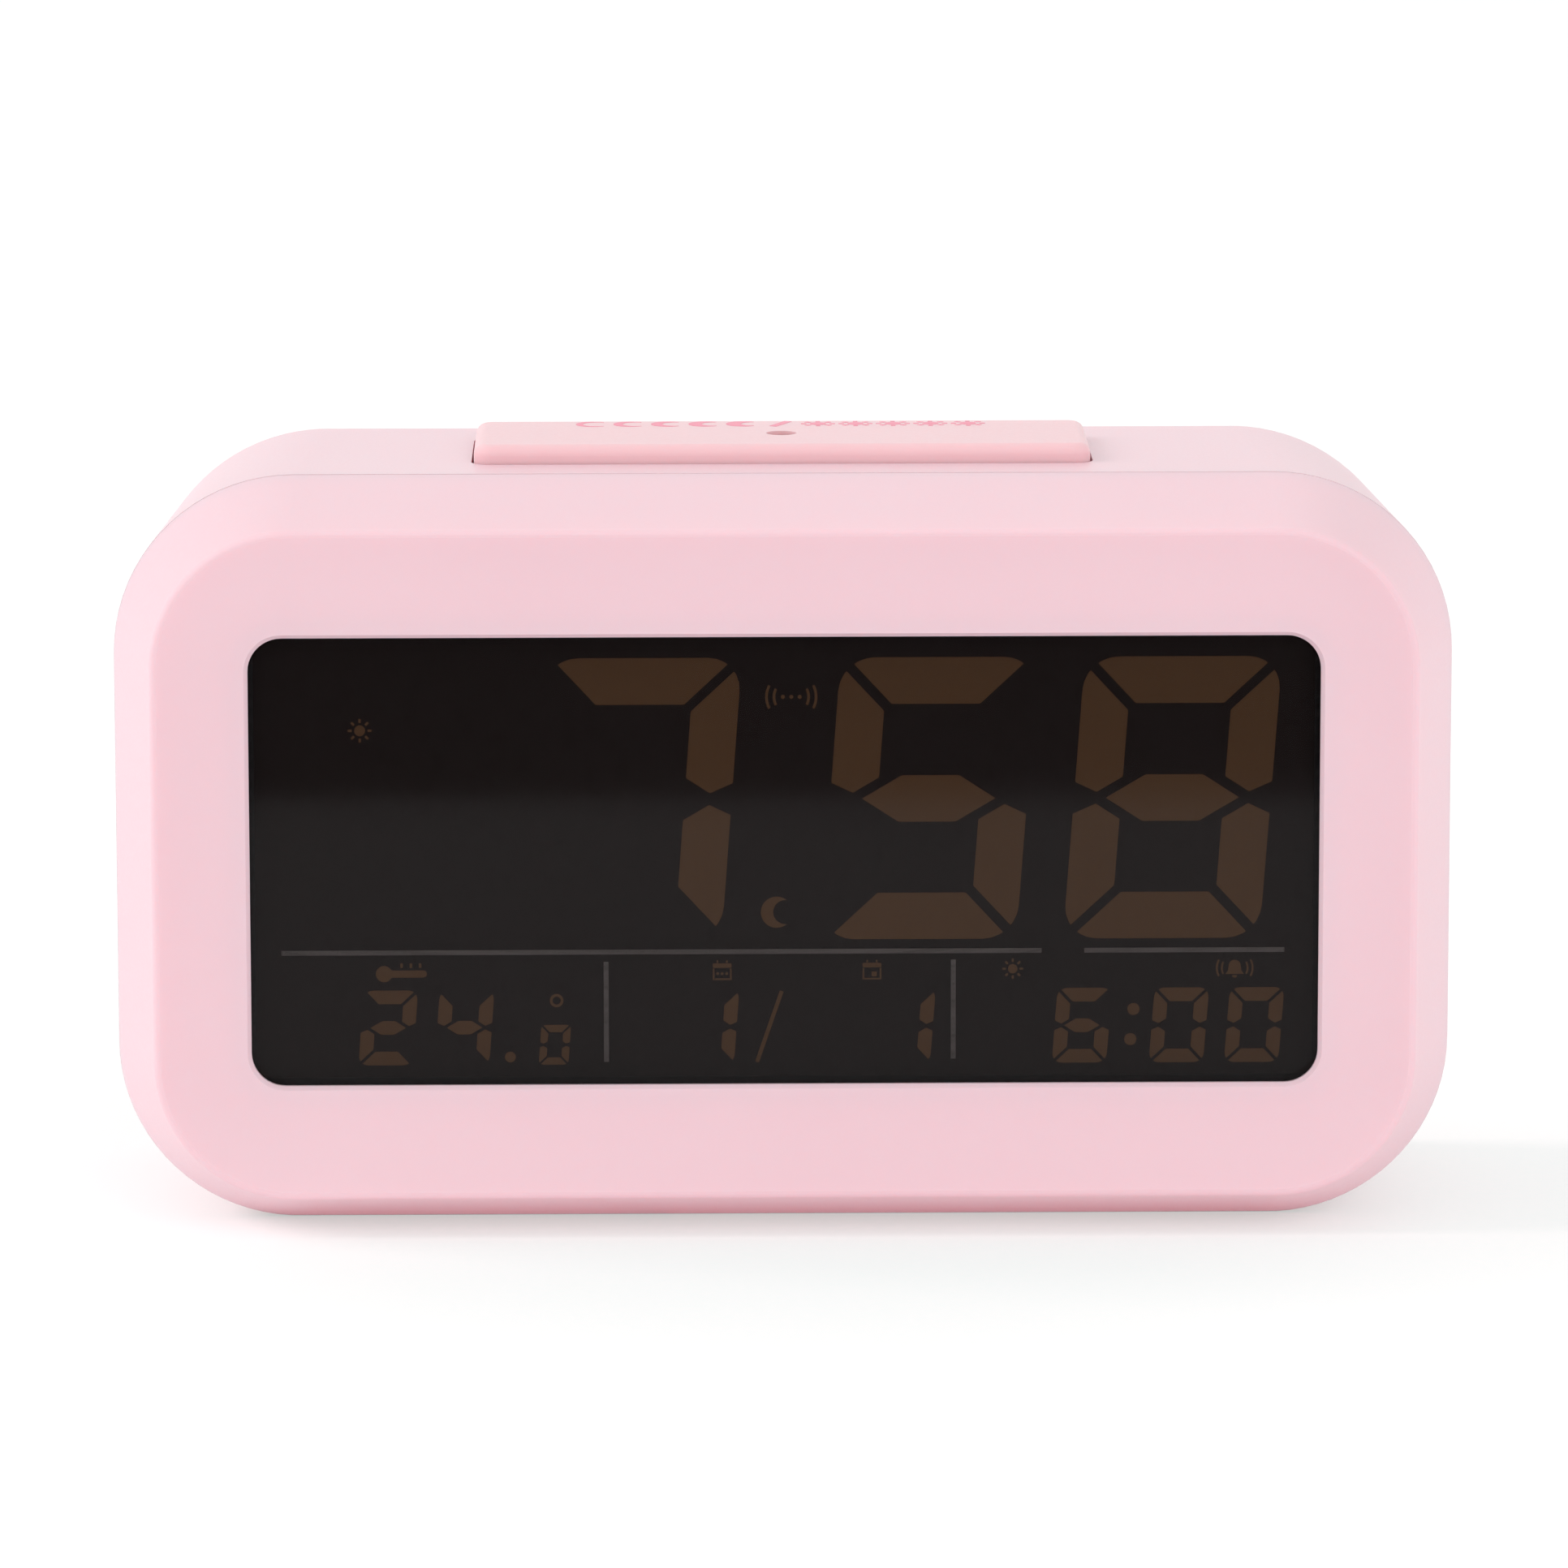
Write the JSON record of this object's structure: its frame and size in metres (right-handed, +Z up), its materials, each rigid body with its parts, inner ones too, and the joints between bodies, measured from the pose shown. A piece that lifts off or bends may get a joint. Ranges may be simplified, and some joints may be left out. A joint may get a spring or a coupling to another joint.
{
  "type": "digital alarm clock",
  "caption": "Table alarm clock with a rounded two-shell case, a dished face around a smoked display, a snooze bar on top, and setting keys, slide switches and a battery door in the back.",
  "frame": {"origin": "on the table, under the middle of the case's width and depth", "axes": "+X to the right seen from the front, +Y from the face to the back, +Z up"},
  "size_m": [0.135, 0.045, 0.0782],
  "materials": {
    "case_pink": "fine satin moulded ABS, pink",
    "key_pink": "satin moulded ABS, pink",
    "smoked_lens": "polished smoked acrylic",
    "lcd_glass": "dark display glass with an unlit backlight",
    "lcd_segment": "display segment, brown without its backlight",
    "print_pink": "deep pink pad printing",
    "white_plastic": "white moulded plastic",
    "clear_acrylic": "clear polished acrylic",
    "board_green": "green solder mask on glass epoxy",
    "lamp_yellow": "white LED package",
    "strip_rubber": "soft grey rubber",
    "screw_steel": "zinc plated steel",
    "resin_black": "black potting resin",
    "contact_metal": "nickel plated spring steel",
    "switch_black": "black moulded plastic",
    "cell_wrap": "printed sleeve over a metal can",
    "lead_red": "soft insulation",
    "ribbon_grey": "flat cable insulation",
    "sensor_clear": "light sensor in clear resin"
  },
  "bodies": {
    "case": {"front_shell": "case_pink", "rear_shell": "case_pink", "display_lens": "smoked_lens", "lcd_panel": "lcd_glass", "display_frame": "white_plastic", "light_guide": "clear_acrylic", "reflector_sheet": "white_plastic", "backlight_leds": "lamp_yellow", "zebra_strips": "strip_rubber", "main_board": "board_green", "main_board_screws": "screw_steel", "controller_blob": "resin_black", "quartz_crystal": "contact_metal", "thermistor": "resin_black", "board_components": "switch_black", "board_connectors": "white_plastic", "snooze_board": "board_green", "snooze_board_screws": "screw_steel", "snooze_switches": "switch_black", "light_sensor": "sensor_clear", "key_board": "board_green", "key_board_screws": "screw_steel", "key_switches": "switch_black", "slide_switches": "contact_metal", "buzzer": "switch_black", "buzzer_leads": "lead_red", "battery_cells": "cell_wrap", "battery_springs": "contact_metal", "battery_plates": "contact_metal", "battery_leads": "lead_red", "key_ribbon": "ribbon_grey", "snooze_ribbon": "ribbon_grey", "case_screws": "screw_steel"},
    "snooze": {"snooze_bar": "key_pink", "snooze_plungers": "switch_black"},
    "mode": {"mode_key": "key_pink", "mode_plunger": "switch_black"},
    "set": {"set_key": "key_pink", "set_plunger": "switch_black"},
    "up": {"up_key": "key_pink", "up_plunger": "switch_black"},
    "down": {"down_key": "key_pink", "down_plunger": "switch_black"},
    "alarm_slide": {"alarm_switch_knob": "key_pink"},
    "light_slide": {"light_switch_knob": "key_pink"},
    "door": {"battery_door": "case_pink"}
  },
  "joints": [
    {"name": "snooze_press", "type": "slide", "parent": "case", "child": "snooze", "axis": [0, 0, -1], "range_m": [0, 0.001], "stiffness_N_per_m": 1500, "springref_m": -0.0003},
    {"name": "mode_press", "type": "slide", "parent": "case", "child": "mode", "axis": [0, -1, 0], "range_m": [0, 0.0006], "stiffness_N_per_m": 1500, "springref_m": -0.0003},
    {"name": "set_press", "type": "slide", "parent": "case", "child": "set", "axis": [0, -1, 0], "range_m": [0, 0.0006], "stiffness_N_per_m": 1500, "springref_m": -0.0003},
    {"name": "up_press", "type": "slide", "parent": "case", "child": "up", "axis": [0, -1, 0], "range_m": [0, 0.0006], "stiffness_N_per_m": 1500, "springref_m": -0.0003},
    {"name": "down_press", "type": "slide", "parent": "case", "child": "down", "axis": [0, -1, 0], "range_m": [0, 0.0006], "stiffness_N_per_m": 1500, "springref_m": -0.0003},
    {"name": "alarm_slide_travel", "type": "slide", "parent": "case", "child": "alarm_slide", "axis": [1, 0, 0], "range_m": [0, 0.003]},
    {"name": "light_slide_travel", "type": "slide", "parent": "case", "child": "light_slide", "axis": [1, 0, 0], "range_m": [0, 0.003]},
    {"name": "door_hinge", "type": "hinge", "parent": "case", "child": "door", "pos_m": [0, 0.0215, 0.008], "axis": [-1, 0, 0], "range_deg": [0, 80]}
  ]
}
